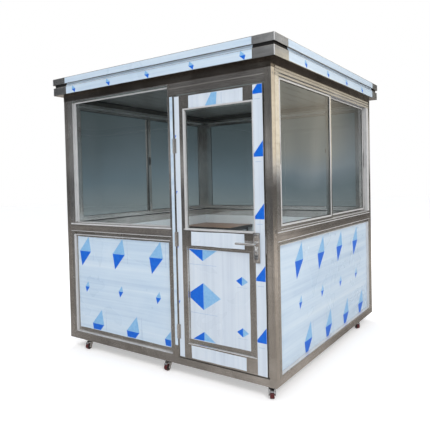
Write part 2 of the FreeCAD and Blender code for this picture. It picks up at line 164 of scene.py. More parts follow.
class Nodes:
    """A material's node tree, with short ways to add nodes to it."""

    def __init__(self, name):
        self.material = bpy.data.materials.new(name)
        self.material.use_nodes = True
        self.tree = self.material.node_tree
        self.shader = self.tree.nodes["Principled BSDF"]
        self.output = self.tree.nodes["Material Output"]

    def add(self, kind, **values):
        node = self.tree.nodes.new("ShaderNode" + kind)
        for key, value in values.items():
            setattr(node, key, value)
        return node

    def link(self, source, target):
        self.tree.links.new(source, target)

    def coords(self, scale):
        """Object coordinates, scaled along each axis."""
        coordinate = self.add("TexCoord")
        mapping = self.add("Mapping")
        mapping.inputs["Scale"].default_value = scale
        self.link(coordinate.outputs["Object"], mapping.inputs["Vector"])
        return mapping.outputs["Vector"]

    def noise(self, scale, detail, rough=0.5, size=1.0, warp=0.0):
        node = self.add("TexNoise")
        node.inputs["Scale"].default_value = size
        node.inputs["Detail"].default_value = detail
        node.inputs["Roughness"].default_value = rough
        node.inputs["Distortion"].default_value = warp
        self.link(self.coords(scale), node.inputs["Vector"])
        return node.outputs["Fac"]

    def ramp(self, source, *stops):
        """Colours along a 0-1 value."""
        node = self.add("ValToRGB")
        set_stops(node, stops)
        self.link(source, node.inputs["Fac"])
        return node.outputs["Color"]

    def mix(self, factor, a, b, blend="MIX"):
        node = self.add("Mix", data_type="RGBA", blend_type=blend)
        if isinstance(factor, float):
            node.inputs[0].default_value = factor
        else:
            self.link(factor, node.inputs[0])
        for socket, value in ((node.inputs[6], a), (node.inputs[7], b)):
            if isinstance(value, tuple):
                socket.default_value = (*value, 1.0)
            else:
                self.link(value, socket)
        return node.outputs[2]

    def between(self, value, low, high):
        """0 where a value is at low, 1 where it is at high."""
        node = self.add("MapRange")
        node.inputs["From Min"].default_value = low
        node.inputs["From Max"].default_value = high
        self.link(value, node.inputs["Value"])
        return node.outputs[0]

    def bump(self, height, strength, distance):
        node = self.add("Bump")
        node.inputs["Strength"].default_value = strength
        node.inputs["Distance"].default_value = distance
        self.link(height, node.inputs["Height"])
        self.link(node.outputs["Normal"], self.shader.inputs["Normal"])

    def set(self, **values):
        """Plain numbers or colours on the shader's own sockets."""
        for key, value in values.items():
            socket = self.shader.inputs[key.replace("_", " ")]
            socket.default_value = (*value, 1.0) if isinstance(value, tuple) else value

    def colour(self, source):
        self.link(source, self.shader.inputs["Base Color"])

    def roughness(self, source):
        self.link(source, self.shader.inputs["Roughness"])


# Scales of the steel's grain and of its rolling waves, on uprights and on level members.
UPRIGHT = ((420, 420, 3), (38, 38, 0.5))
LEVEL = ((3, 3, 420), (0.7, 0.7, 30))


def steel(name, run, dark, light, rough, rougher, bump=0.03, under=None, top_rough=None):
    """Polished or brushed stainless steel: fine grain one way, cloudy tones and faint scuffs.

    run holds the scales of the grain and of the waves that bend the reflections. under is a
    painted shade colour for faces that look down, top_rough the roughness of faces that look up.
    """
    grain, wave = run
    n = Nodes(name)
    streaks = n.noise(grain, detail=2.0, rough=0.6)
    clouds = n.noise((1, 1, 1), detail=5.0, rough=0.6, size=2.6, warp=0.5)
    tone = n.ramp(clouds, (0.32, dark), (0.68, light))
    fine = n.ramp(streaks, (0.25, 0.86), (0.75, 1.0))
    scuffs = n.noise((9, 9, 60), detail=4.0, rough=0.7, warp=0.8)
    tone = n.mix(1.0, tone, n.ramp(scuffs, (0.28, 0.84), (0.5, 1.0)), "MULTIPLY")
    tone = n.mix(1.0, tone, fine, "MULTIPLY")
    smear = n.noise((1, 1, 1), detail=5.0, rough=0.7, size=7.0)
    polish = n.ramp(smear, (0.3, rough), (0.75, rougher))
    if under:
        geometry = n.add("NewGeometry")
        split = n.add("SeparateXYZ")
        n.link(geometry.outputs["True Normal"], split.inputs[0])
        # Faces that look down take the under colour: painted shade, as on the eaves' undersides.
        tone = n.mix(n.between(split.outputs["Z"], -0.4, -0.6), tone, under)
        polish = n.mix(n.between(split.outputs["Z"], 0.4, 0.6), polish, (top_rough,) * 3)
    n.colour(tone)
    n.roughness(polish)
    rolled = n.noise(wave, detail=1.5, rough=0.5)
    n.bump(n.mix(0.06, rolled, streaks), bump, 0.02)
    n.set(Metallic=0.92)
    return n.material


def film_material(name, grain, deep, milky, white):
    """Pale blue protective film: milky plastic with faint roll streaks, stuck to steel."""
    n = Nodes(name)
    bands = n.noise(grain, detail=4.0, rough=0.62)
    blotch = n.noise((1, 1, 1), detail=3.0, rough=0.55, size=2.6, warp=0.6)
    base = n.ramp(bands, (0.3, deep), (0.5, milky), (0.75, white))
    n.colour(n.mix(n.ramp(blotch, (0.4, 0.0), (0.75, 0.5)), base, white))
    n.roughness(n.ramp(blotch, (0.3, 0.24), (0.7, 0.38)))
    n.bump(bands, 0.12, 0.001)
    n.set(Metallic=0.0, Specular_IOR_Level=0.5, Coat_Weight=0.25, Coat_Roughness=0.15)
    return n.material


def ink(name, colour, pale):
    """Printing ink on the film, a little uneven."""
    n = Nodes(name)
    spots = n.noise((1, 1, 1), detail=2.0, size=60.0)
    n.colour(n.ramp(spots, (0.3, colour), (0.8, pale)))
    n.roughness(n.ramp(spots, (0.2, 0.28), (0.8, 0.38)))
    n.set(Specular_IOR_Level=0.3)
    return n.material


def glass(name, tint, dusty, shade):
    """Window glass with a faint uneven bloom, that lets lamp light through."""
    n = Nodes(name)
    bloom = n.noise((1, 1, 1), detail=4.0, rough=0.6, size=1.8, warp=0.8)
    n.colour(n.ramp(bloom, (0.3, tint), (0.75, dusty)))
    n.set(Roughness=0.0, IOR=1.5, Transmission_Weight=1.0)
    path = n.add("LightPath")
    clear = n.add("BsdfTransparent")
    clear.inputs["Color"].default_value = (*shade, 1.0)
    mix = n.add("MixShader")
    n.link(path.outputs["Is Shadow Ray"], mix.inputs[0])
    n.link(n.shader.outputs[0], mix.inputs[1])
    n.link(clear.outputs[0], mix.inputs[2])
    n.link(mix.outputs[0], n.output.inputs["Surface"])
    return n.material


def plain(name, low, high, rough, size, metallic=0.0, bump=0.1, **values):
    """A mottled paint, plastic, rubber or casting."""
    n = Nodes(name)
    mottle = n.noise((1, 1, 1), detail=4.0, rough=0.6, size=size)
    n.colour(n.ramp(mottle, (0.3, low), (0.75, high)))
    n.roughness(n.ramp(mottle, (0.3, rough - 0.06), (0.8, rough + 0.08)))
    n.bump(mottle, bump, 0.0008)
    n.set(Metallic=metallic, **values)
    return n.material


def laminate():
    """Brown laminated board with a soft wood figure."""
    n = Nodes("desk_laminate")
    figure = n.noise((2, 22, 22), detail=5.0, rough=0.65, warp=1.2)
    tones = ((0.25, (0.10, 0.055, 0.035)), (0.5, (0.20, 0.12, 0.08)), (0.8, (0.30, 0.19, 0.13)))
    n.colour(n.ramp(figure, *tones))
    n.roughness(n.ramp(figure, (0.2, 0.3), (0.8, 0.45)))
    n.bump(figure, 0.08, 0.0005)
    return n.material


MATS = {
    "upright": steel("steel_upright", UPRIGHT, (0.49, 0.455, 0.415), (0.73, 0.695, 0.655), 0.05, 0.13),
    "level": steel("steel_level", LEVEL, (0.50, 0.47, 0.44), (0.72, 0.69, 0.66), 0.06, 0.15),
    # The cap's under colour is painted shade on the undersides of the eaves.
    "cap": steel("steel_cap", LEVEL, (0.47, 0.475, 0.475), (0.74, 0.745, 0.745), 0.07, 0.17,
                 bump=0.035, under=(0.06, 0.043, 0.03), top_rough=0.42),
    # Dark steel for the head frame under the eaves: its darkness is painted shade from the eaves above.
    "shade": steel("steel_painted_shade", LEVEL, (0.10, 0.085, 0.07), (0.30, 0.27, 0.24), 0.06, 0.16),
    "window": steel("steel_window", UPRIGHT, (0.60, 0.585, 0.56), (0.80, 0.785, 0.765), 0.09, 0.2),
    "ridge": steel("steel_ridge", LEVEL, (0.70, 0.665, 0.60), (0.86, 0.83, 0.77), 0.26, 0.38),
    "panel": steel("steel_panel", LEVEL, (0.50, 0.48, 0.455), (0.66, 0.64, 0.61), 0.18, 0.32),
    "bead": plain("bead_metal", (0.70, 0.705, 0.72), (0.80, 0.805, 0.82), 0.42, 12.0,
                  metallic=0.35, bump=0.01),
    "film": film_material("film_level", (0.5, 0.5, 22), (0.465, 0.605, 0.77), (0.575, 0.71, 0.85),
                          (0.69, 0.80, 0.905)),
    "door_film": film_material("film_upright", (24, 24, 0.5), (0.565, 0.64, 0.745),
                               (0.64, 0.72, 0.82), (0.725, 0.79, 0.865)),
    "ink": ink("ink_deep", (0.0, 0.115, 0.66), (0.005, 0.17, 0.74)),
    "pale_ink": ink("ink_pale", (0.21, 0.46, 0.76), (0.31, 0.56, 0.83)),
    "rule_ink": ink("ink_rule", (0.34, 0.47, 0.66), (0.46, 0.58, 0.75)),
    "glass": glass("window_glass", (0.84, 0.875, 0.86), (0.90, 0.925, 0.915), (0.92, 0.935, 0.93)),
    "lining": plain("lining_sheet", (0.68, 0.73, 0.77), (0.78, 0.82, 0.85), 0.4, 3.0, bump=0.03),
    "ceiling": plain("ceiling_sheet", (0.20, 0.205, 0.21), (0.26, 0.265, 0.27), 0.34, 1.6,
                     metallic=0.5, bump=0.01),
    "floor": plain("floor_vinyl", (0.20, 0.205, 0.21), (0.30, 0.305, 0.31), 0.5, 40.0),
    "desk": laminate(),
    "edge": plain("desk_edge", (0.015, 0.013, 0.012), (0.035, 0.03, 0.028), 0.35, 50.0),
    "bracket": plain("bracket_paint", (0.10, 0.10, 0.105), (0.15, 0.15, 0.155), 0.42, 80.0),
    "chrome": plain("satin_chrome", (0.74, 0.735, 0.73), (0.86, 0.855, 0.85), 0.12, 20.0,
                    metallic=1.0, bump=0.02),
    "zinc": plain("zinc_plate", (0.27, 0.27, 0.275), (0.50, 0.50, 0.505), 0.2, 70.0, metallic=1.0),
    "tread": plain("tread_red", (0.075, 0.008, 0.010), (0.14, 0.016, 0.018), 0.35, 60.0,
                   Coat_Weight=0.3),
    "hub": plain("hub_black", 0.012, 0.03, 0.4, 60.0),
    "gasket": plain("gasket_black", 0.012, 0.03, 0.6, 90.0),
}

# The material of a node, by how its name ends. All other nodes are level steel.
NODE_LOOKS = {
    "_glass": "glass", "_post": "upright", "_window_frame": "window", "_window_sashes": "window",
    "_lower_panel": "panel", "_caster_fork": "zinc", "_caster_wheel": "tread",
    "caster_plates": "zinc", "door_lever": "chrome", "door_lock_plates": "chrome",
    # The head frame's dark steel is painted shade from the eaves.
    "door_frame": "upright", "door_hinges": "window", "head_frame": "shade", "eaves_band": "cap",
    "roof_panel": "cap", "floor_deck": "floor", "desk_top": "desk", "desk_brackets": "bracket",
}


def paint_nodes():
    """Gives every node of the frame its material."""
    for name, node in nodes.items():
        keys = [key for ending, key in NODE_LOOKS.items() if name.endswith(ending)]
        node.data.materials.clear()
        node.data.materials.append(MATS[keys[0] if keys else "level"])


# -------- making pieces
def piece(name, mesh, body, material, matrix=None, smooth=False):
    """Adds a mesh given in metres, or in millimetres of a wall's axes, as a piece of the booth."""
    if matrix is not None:
        mesh.transform(matrix @ Matrix.Scale(MM, 4))
    keys = material if isinstance(material, tuple) else (material,)
    for key in keys:
        mesh.materials.append(MATS[key])
    for polygon in mesh.polygons:
        polygon.use_smooth = smooth
    mesh.name = name
    thing = bpy.data.objects.new(name, mesh)
    bpy.context.scene.collection.objects.link(thing)
    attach(thing, body)
    return thing


def new_mesh(points, faces):
    mesh = bpy.data.meshes.new("mesh")
    mesh.from_pydata([tuple(p) for p in points], [], faces)
    mesh.update()
    return mesh


def finished(bm, name="mesh"):
    """The mesh that a bmesh has built up."""
    mesh = bpy.data.meshes.new(name)
    bm.to_mesh(mesh)
    bm.free()
    return mesh


def fix_normals(mesh, weld=0.0):
    """Turns all faces outwards, once points closer than weld are merged."""
    bm = bmesh.new()
    bm.from_mesh(mesh)
    if weld:
        bmesh.ops.remove_doubles(bm, verts=bm.verts, dist=weld)
    bmesh.ops.recalc_face_normals(bm, faces=bm.faces)
    bm.to_mesh(mesh)
    bm.free()


def clip(polygon, low, high):
    """The part of a polygon inside a rectangle."""
    for axis in (0, 1):
        for limit, sign in ((low[axis], 1), (high[axis], -1)):
            kept = []
            for a, b in zip(polygon, polygon[1:] + polygon[:1]):
                da, db = sign * (a[axis] - limit), sign * (b[axis] - limit)
                if da >= 0:
                    kept.append(a)
                if (da >= 0) != (db >= 0):
                    t = da / (da - db)
                    kept.append((a[0] + t * (b[0] - a[0]), a[1] + t * (b[1] - a[1])))
            polygon = kept
            if not polygon:
                return []
    return polygon


FILM_THICK = 0.35
EDGE_STEP = 90
# The inks of a film sheet, and their places after the film in its materials.
PRINTED = ("ink", "pale_ink", "rule_ink")
DEEP, PALE, THIN = 1, 2, 3


def wavy_edge(a, b, wobble):
    """Points from a to before b along a hand-cut edge."""
    length = math.dist(a, b)
    count = max(1, round(length / EDGE_STEP))
    across = ((b[1] - a[1]) / length, (a[0] - b[0]) / length)
    points = []
    for i in range(count):
        t = i / count
        off = rng.uniform(-wobble, wobble) if i else 0.0
        x = a[0] + t * (b[0] - a[0]) + off * across[0]
        z = a[1] + t * (b[1] - a[1]) + off * across[1]
        points.append((x, z))
    return points


def film_outline(area, wobble):
    """A rectangle with uneven corners and edges."""
    left, right, low, high = area
    corners = [(left, low), (right, low), (right, high), (left, high)]
    corners = [(x + rng.uniform(-wobble, wobble), z + rng.uniform(-wobble, wobble)) for x, z in corners]
    outline = []
    for a, b in zip(corners, corners[1:] + corners[:1]):
        outline += wavy_edge(a, b, wobble)
    return outline


def film_sheet(name, wall, area, out, body, marks, wobble):
    """A film sheet on a wall, with its marks as faces of their own.

    area is (left, right, low, high), out is where its back lies, and a mark is (outline, ink).
    """
    left, right, low, high = area
    margin = 2.2 * wobble
    polygons, inks = [film_outline(area, wobble)], [0]
    for shape, ink_index in marks:
        shape = clip(shape, (left + margin, low + margin), (right - margin, high - margin))
        if len(shape) > 2:
            polygons.append(shape)
            inks.append(ink_index)
    points, faces = [], []
    for polygon in polygons:
        faces.append(list(range(len(points), len(points) + len(polygon))))
        points += [Vector(p) for p in polygon]
    points, _, cells, _, _, owners = delaunay_2d_cdt(points, [], faces, 1, 0.01)
    bm = bmesh.new()
    front = [bm.verts.new((p.x, p.y, out + FILM_THICK)) for p in points]
    back = [bm.verts.new((p.x, p.y, out)) for p in points]
    for cell, owner in zip(cells, owners):
        face = bm.faces.new([front[i] for i in cell])
        face.material_index = inks[max(owner)] if owner else 0
        bm.faces.new([back[i] for i in reversed(cell)])
    middle = out + FILM_THICK / 2
    rim = [e for e in bm.edges if len(e.link_faces) == 1 and e.verts[0].co.z > middle]
    twin = dict(zip(front, back))
    for edge in rim:
        loop = edge.link_loops[0]
        a, b = loop.vert, loop.link_loop_next.vert
        bm.faces.new([b, a, twin[a], twin[b]])
    sheet = "door_film" if body == "door" else "film"
    return piece(name, finished(bm), body, (sheet, *PRINTED), WALLS[wall])


def lozenge(x, z, width, height, lean, split="level"):
    """A generic two-tone lozenge centred on a point: one deep half and one pale half."""
    top, bottom = (x + lean, z + height / 2), (x - lean, z - height / 2)
    left, right = (x - width / 2, z), (x + width / 2, z)
    if split == "level":
        return [([left, bottom, right], DEEP), ([left, right, top], PALE)]
    return [([left, bottom, top], DEEP), ([bottom, right, top], PALE)]


def rule(x, z, width, height):
    """A thin printed line."""
    left, right, low, high = x - width / 2, x + width / 2, z - height / 2, z + height / 2
    return [([(left, low), (right, low), (right, high), (left, high)], THIN)]


def swept_ring(name, wall, area, out, profile, body, material):
    """A mitred frame around a rectangle: profile points are (away from the opening, out)."""
    left, right, low, high = area
    points, faces, steps = [], [], len(profile)
    for sx, sz in ((-1, -1), (1, -1), (1, 1), (-1, 1)):
        for away, proud in profile:
            x = (left if sx < 0 else right) + sx * away
            z = (low if sz < 0 else high) + sz * away
            points.append((x, z, out + proud))
    for corner in range(4):
        for j in range(steps):
            a, b = corner * steps + j, corner * steps + (j + 1) % steps
            c, d = ((corner + 1) % 4) * steps + (j + 1) % steps, ((corner + 1) % 4) * steps + j
            faces.append((a, d, c, b))
    mesh = new_mesh(points, faces)
    fix_normals(mesh)
    return piece(name, mesh, body, material, WALLS[wall])


def bead_profile(width, proud):
    """A glazing bead: flat where it meets the frame, rounded towards the opening."""
    return [(0, 0), (0, 0.35 * proud), (0.12 * width, 0.72 * proud), (0.34 * width, 0.95 * proud),
            (0.55 * width, proud), (width, proud), (width, 0)]


def bar(name, wall, start, end, out, width, proud, body, material):
    """A rounded strip between two points of a wall."""
    ax, az = start
    bx, bz = end
    length = math.dist(start, end)
    dx, dz = (bx - ax) / length, (bz - az) / length
    nx, nz = -dz, dx
    half = width / 2
    profile = [(-half, 0), (-half, 0.6 * proud), (-0.55 * half, 0.95 * proud), (0, proud),
               (0.55 * half, 0.95 * proud), (half, 0.6 * proud), (half, 0)]
    points = []
    for along in (0, length):
        for n, w in profile:
            points.append((ax + dx * along + nx * n, az + dz * along + nz * n, out + w))
    count = len(profile)
    faces = [tuple(range(count)), tuple(range(2 * count - 1, count - 1, -1))]
    for j in range(count):
        k = (j + 1) % count
        faces.append((j, j + count, k + count, k))
    mesh = new_mesh(points, faces)
    fix_normals(mesh)
    return piece(name, mesh, body, material, WALLS[wall])


def turned(profile, centre, axis, segments):
    """A solid of revolution: profile points are (radius, along the axis) in millimetres."""
    axis = Vector(axis).normalized()
    side = axis.orthogonal().normalized()
    other = axis.cross(side)
    points, faces = [], []
    count = len(profile)
    for i in range(segments):
        angle = 2 * math.pi * i / segments
        spoke = side * math.cos(angle) + other * math.sin(angle)
        for radius, along in profile:
            points.append(Vector(centre) + (spoke * radius + axis * along) * MM)
    for i in range(segments):
        k = (i + 1) % segments
        for j in range(count - 1):
            faces.append((i * count + j, k * count + j, k * count + j + 1, i * count + j + 1))
    faces.append(tuple(i * count for i in range(segments))[::-1])
    faces.append(tuple(i * count + count - 1 for i in range(segments)))
    mesh = new_mesh(points, faces)
    fix_normals(mesh, weld=1e-6)
    return mesh


def prism(outline, low, high):
    """An outline of (x, z) points, drawn out from low to high along y."""
    count = len(outline)
    points = [(x, low, z) for x, z in outline] + [(x, high, z) for x, z in outline]
    faces = [tuple(range(count)), tuple(range(2 * count - 1, count - 1, -1))]
    faces += [(i, i + count, (i + 1) % count + count, (i + 1) % count) for i in range(count)]
    mesh = new_mesh(points, faces)
    fix_normals(mesh)
    return mesh


def block(low, high, bevel):
    """A box between two corners, its edges rounded by bevel."""
    low, high = Vector(low), Vector(high)
    bm = bmesh.new()
    bmesh.ops.create_cube(bm, size=1)
    bmesh.ops.scale(bm, vec=high - low, verts=bm.verts)
    bmesh.ops.translate(bm, vec=(low + high) / 2, verts=bm.verts)
    bmesh.ops.bevel(bm, geom=list(bm.edges), offset=bevel, segments=2, affect="EDGES")
    return finished(bm)


def wall_block(wall, low, high, bevel):
    """A box given in a wall's millimetres, as (along, up, out), and made in metres."""
    mesh = block(low, high, bevel)
    mesh.transform(WALLS[wall] @ Matrix.Scale(MM, 4))
    return mesh


def joined(meshes):
    """One mesh out of several."""
    bm = bmesh.new()
    for mesh in meshes:
        bm.from_mesh(mesh)
    result = finished(bm)
    for mesh in meshes:
        bpy.data.meshes.remove(mesh)
    return result


# -------- film
# Width, height and lean of the marks on the panels, and each row's shift and height.
BIG_MARK = (138, 252, 46)
SMALL_MARK = (52, 96, 12)
MARK_ROWS = ((0, 752, BIG_MARK), (14, 452, SMALL_MARK), (136, 150, BIG_MARK))


def side_marks(right, first, pitch):
    """Rows of lozenges on a panel's film: large ones above and below, small ones between."""
    marks = []
    x = first
    while x < right:
        for shift, height, size in MARK_ROWS:
            marks += lozenge(x + shift, height, *size)
            if size == BIG_MARK:
                marks += rule(x + shift + 96, height + 26, 3, 190)
        x += pitch
    return marks


def make_panel_films():
    """Film on the recessed sheets of the four walls."""
    film_sheet("front_panel_film", "front", (104, 1119, 99, 876), SHEET_OUT, "booth",
               side_marks(1119, 192, 398), 1.6)
    for wall, first in (("right", 418), ("back", 300), ("left", 350)):
        area = panel_area(wall)
        film_sheet(wall + "_panel_film", wall, area, SHEET_OUT, "booth",
                   side_marks(area[1], first, 400), 1.2)


# Where the film on each wall's roof bands starts and ends, and where its first mark is.
ROOF_FILMS = {
    "front": (96, 1900, 203), "right": (131, 1935, 406),
    "back": (60, 1900, 267), "left": (100, 1940, 307),
}
ROOF_MARK_PITCH = 407
# Across the film in the groove between the bands, as (out, up), and the turn from a prism's
# axes to those of a wall.
GROOVE_SECTION = ((57.2, 2138.8), (56.4, 2138.8), (46.2, 2156.2),
                  (46.2, 2163.0), (47.0, 2163.0), (47.0, 2156.6))
FROM_SECTION = Matrix(((0, 1, 0, 0), (0, 0, 1, 0), (1, 0, 0, 0), (0, 0, 0, 1)))
GROOVE_MIDDLE = 2151.5
GROOVE_OUT = 44


def make_roof_films():
    """Film on the roof bands of each wall and in the groove between, bare near the corners."""
    for wall, (left, right, first) in ROOF_FILMS.items():
        marks = []
        x = first
        while x < right - 20:
            marks += lozenge(x, 2108, 46, 60, -14)
            x += ROOF_MARK_PITCH
        low_left = left + 11
        film_sheet(wall + "_lower_band_film", wall, (low_left, right, 2079, 2138),
                   BAND_OUT["lower"], "booth", marks, 0.5)
        film_sheet(wall + "_upper_band_film", wall, (left, right, 2166, 2212),
                   BAND_OUT["upper"], "booth", (), 0.5)
        strip = prism(GROOVE_SECTION, low_left, right)
        strip.transform(FROM_SECTION)
        piece(wall + "_groove_film", strip, "booth", "film", WALLS[wall])
        # A black strip deep in the groove: painted shadow under the upper band's lip.
        start, end = (-GROOVE_OUT, GROOVE_MIDDLE), (WALL_LENGTH[wall] + GROOVE_OUT, GROOVE_MIDDLE)
        bar(wall + "_groove_painted_shadow", wall, start, end, GROOVE_OUT, 22, 1.6, "booth", "gasket")


def make_door_films():
    """Film strips on the door leaf, and on the post beside it."""
    film_sheet("door_post_film", "front", (1177, 1203, 137, 1930), 0, "booth", (), 0.5)
    strip = []
    for z in (455, 854, 1245, 1643):
        strip.append(([(1221, z - 14), (1232, z + 12), (1221, z + 12)], DEEP))
    film_sheet("hinge_stile_film", "front", (1219, 1262, 62, 1927), LEAF_OUT, "door", strip, 0.6)
    stile = []
    for z in (-62, 336, 735, 1134, 1533, 1932):
        stile.append(([(1850, z - 62), (1940, z - 62), (1940, z + 48)], DEEP))
        stile += rule(1898, z - 94, 44, 3)
    film_sheet("lock_stile_film", "front", (1864, 1935, 60, 1930), LEAF_OUT, "door", stile, 0.6)
    rail = [([(1482, 1825), (1580, 1825), (1590, 1935), (1552, 1935)], PALE)]
    rail += rule(1624, 1878, 3, 70)
    film_sheet("top_rail_film", "front", (1347, 1790, 1835, 1923), LEAF_OUT, "door", rail, 1.2)
    film_sheet("middle_rail_film", "front", (1345, 1782, 872, 971), LEAF_OUT, "door", (), 1.2)
    film_sheet("bottom_rail_film", "front", (1326, 1780, 67, 156), LEAF_OUT, "door", (), 1.2)
    panel = []
    for z in (860, 516, 172):
        panel += lozenge(1430, z, 292, 190, 0, "upright")
        panel += rule(1425, z - 122, 240, 3)
    for z in (655, 313):
        panel += lozenge(1748, z, 92, 62, 0, "upright")
        panel += rule(1748, z - 42, 76, 2)
    face = front_out("door_lower_panel", 0)
    film_sheet("door_panel_film", "front", (1311, 1808, 200, 847), face, "door", panel, 1.4)


# -------- beads, ridges and windows
def make_beads():
    """Bright beads around glass and sheets, the door's ledges, and a pale strip on the front jamb as a
    painted reflection.
    """
    swept_ring("front_glass_bead", "front", (114, 1149, 1001, 2002), -38, bead_profile(8, 14),
               "booth", "bead")
    # A pale strip on the side of the front jamb: painted reflection.
    cover = wall_block("front", (106, 1002, -23.5), (107.4, 2001, -0.5), 0.3)
    piece("front_jamb_painted_reflection", cover, "booth", "bead")
    swept_ring("front_panel_bead", "front", (88, 1164, PANEL_LOW, 888), SHEET_OUT,
               bead_profile(8, 21), "booth", "bead")
    swept_ring("door_glass_bead", "front", (*DOOR_OPENING, 992, 1822), -19, bead_profile(13, 20),
               "door", "bead")
    swept_ring("door_panel_bead", "front", (*DOOR_OPENING, 173, 858), -16, bead_profile(8, 16),
               "door", "window")
    bar("door_panel_ledge", "front", (1300, 167), (1861, 167), LEAF_OUT, 4, 3, "door", "bead")
    bar("door_glass_ledge", "front", (1281, 985), (1870, 985), LEAF_OUT, 5, 3, "door", "bead")
    for wall in WINDOW_WALLS:
        swept_ring(wall + "_panel_bead", wall, panel_area(wall), SHEET_OUT, bead_profile(7, 21),
                   "booth", "bead")


def make_ridges():
    """Pressed ridges on the members over the door and the windows, and on the sills."""
    for index, (z, out, width) in enumerate(((1989, 0, 5), (2033, -6, 6)), 1):
        bar("door_header_ridge_%d" % index, "front", (1168, z), (1947, z), out, width, 3,
            "booth", "window")
    for wall in WINDOW_WALLS:
        right = WALL_LENGTH[wall] - HEADER_END
        for index, z in enumerate((2037, 2014, 1991), 1):
            bar("%s_header_ridge_%d" % (wall, index), wall, (HEADER_END, z), (right, z), 0, 15, 3,
                "booth", "ridge")
    for wall, length in WALL_LENGTH.items():
        right, width, proud = length - SILL_END, 6, 4
        if wall == "front":
            right, width, proud = 1162, 11, 5
        bar(wall + "_sill_ridge_top", wall, (SILL_END, 984), (right, 984), 0, width, proud,
            "booth", "bead")
        bar(wall + "_sill_ridge_low", wall, (SILL_END, 925), (right, 925), 0, 4, 3, "booth", "bead")


def wall_blocks(name, wall, boxes, material):
    """Adds several boxes on a wall as one piece. A box is (low corner, high corner, bevel)."""
    piece(name, joined([wall_block(wall, *box) for box in boxes]), "booth", material)


GASKET_PROFILE = [(0, 0), (0, 2.4), (3, 3.2), (6, 3.2), (6, 0)]
SASH_PROFILE = [(0, 0), (0, 1.6), (2, 3.0), (12, 3.0), (14, 1.6), (14, 0)]


def make_window_details():
    """Gaskets and beads around the sliding panes, track ribs, latches, pulls, and pale jamb strips as
    painted reflections.
    """
    for wall in WINDOW_WALLS:
        length = WALL_LENGTH[wall]
        middle = length / 2
        panes = ((140, middle - 16, -14.5), (middle + 16, length - 140, -35.5))
        for index, (left, right, out) in enumerate(panes, 1):
            label = "%s_sash_%d" % (wall, index)
            swept_ring(label + "_gasket", wall, (left + 4, right - 4, 1037, 1964), out - 3.2,
                       GASKET_PROFILE, "booth", "gasket")
            swept_ring(label + "_bead", wall, (left - 1, right + 1, 1032, 1969), out + 2.6,
                       SASH_PROFILE, "booth", "bead")
        wall_blocks(wall + "_track_ribs", wall, [
            ((62, low, out - 1), (length - 62, high, out + 1), 0.4)
            for out in (-7, -29.5, -49) for low, high in ((986, 1001), (1990, 2004))], "bead")
        wall_blocks(wall + "_sash_latch", wall, [
            ((middle - 6, 1500, -54), (middle + 12, 1586, -48), 1.5),
            ((middle - 3, 1528, -62), (middle + 9, 1560, -54), 2.0)], "hub")
        wall_blocks(wall + "_sash_pulls", wall, [
            ((114, 1420, -10), (126, 1560, -7.5), 1.0),
            ((length - 126, 1420, -31), (length - 114, 1560, -28.5), 1.0)], "gasket")
        # Pale strips at the right end of each window: painted reflection on the jamb.
        wall_blocks(wall + "_jamb_painted_reflection", wall, [
            ((length - 105.4, 1003, -30), (length - 104, 1988, 1.2), 0.3),
            ((length - 104, 1003, 0), (length - 56, 1988, 1.2), 0.3)], "bead")


# -------- inside
def make_linings():
    """Sheets inside the walls below the windows, and on the inner side of the door."""
    for wall, length in WALL_LENGTH.items():
        right = 1163 if wall == "front" else length - 52
        lining = wall_block(wall, (52, 52, -52), (right, 920, -50.4), 0.4)
        piece(wall + "_lining", lining, "booth", "lining")
    inside = front_out("door_lower_panel", 1)
    lining = wall_block("front", (1301, 166, inside - 1.6), (1860, 865, inside), 0.4)
    piece("door_lining", lining, "door", "lining")


def make_ceiling():
    """Narrow planks under the roof."""
    meshes = []
    plank, gap, x = 0.118, 0.005, -0.93
    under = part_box("eaves_band")[0].z
    while x + plank < 0.945:
        low, high = (x, -0.955, under - 0.008), (x + plank, 0.955, under - 0.0005)
        meshes.append(block(low, high, 0.0015))
        x += plank + gap
    piece("ceiling_planks", joined(meshes), "booth", "ceiling")


def make_desk_strips():
    """Dark strips on the two free edges of the desk."""
    low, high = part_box("desk_top")
    proud, sunk = 0.0015, 0.0005
    bottom, top = low.z - 0.001, high.z + 0.0008
    edge = block((low.x, low.y - proud, bottom), (high.x, low.y + sunk, top), 0.0005)
    piece("desk_edge_strip", edge, "booth", "edge")
    side = block((high.x - sunk, low.y - proud, bottom), (high.x + proud, high.y, top), 0.0005)
    piece("desk_side_strip", side, "booth", "edge")


# -------- roof
SEAMS = (-0.36, 0.36)
RIVET_PROFILE = [(0, 0.6), (2.4, 0.5), (3.2, 0.1), (3.2, -1.0)]


def make_roof_details():
    """Rims and rounded corners on the roof bands, the corners pale as a painted highlight, and riveted
    lap seams on top.
    """
    for label, z in (("lower", 2138.6), ("upper", 2213.2)):
        proud = BAND_OUT[label]
        for wall, length in WALL_LENGTH.items():
            bar("%s_band_rim_%s" % (label, wall), wall, (-proud, z), (length + proud, z),
                proud - 0.4, 2.8, 1.0, "booth", "window")
    meshes = []
    # The rounded corners are in pale bead metal: a painted highlight along each band's corner.
    for label, low, high in (("lower", 2076.5, 2139.5), ("upper", 2163.5, 2214.5)):
        proud, fall = BAND_OUT[label], low - high
        profile = [(2.4, fall), (3.0, 1.0 + fall), (3.0, -1.0), (2.4, 0)]
        for wall in WALLS:
            corner = spot(wall, -proud + 1.8, high, proud - 1.8)
            meshes.append(turned(profile, corner, UP, 16))
    piece("band_corner_painted_highlights", joined(meshes), "booth", "bead", smooth=True)
    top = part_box("roof_panel")[1].z
    meshes = [block((x - 0.015, -1.05, top - 0.001), (x + 0.015, 1.05, top + 0.0025), 0.0006)
              for x in SEAMS]
    piece("roof_lap_seams", joined(meshes), "booth", "cap")
    meshes = [turned(RIVET_PROFILE, (x, -0.99 + 0.18 * i, top + 0.0024), UP, 10)
              for x in SEAMS for i in range(12)]
    piece("roof_rivets", joined(meshes), "booth", "bead")


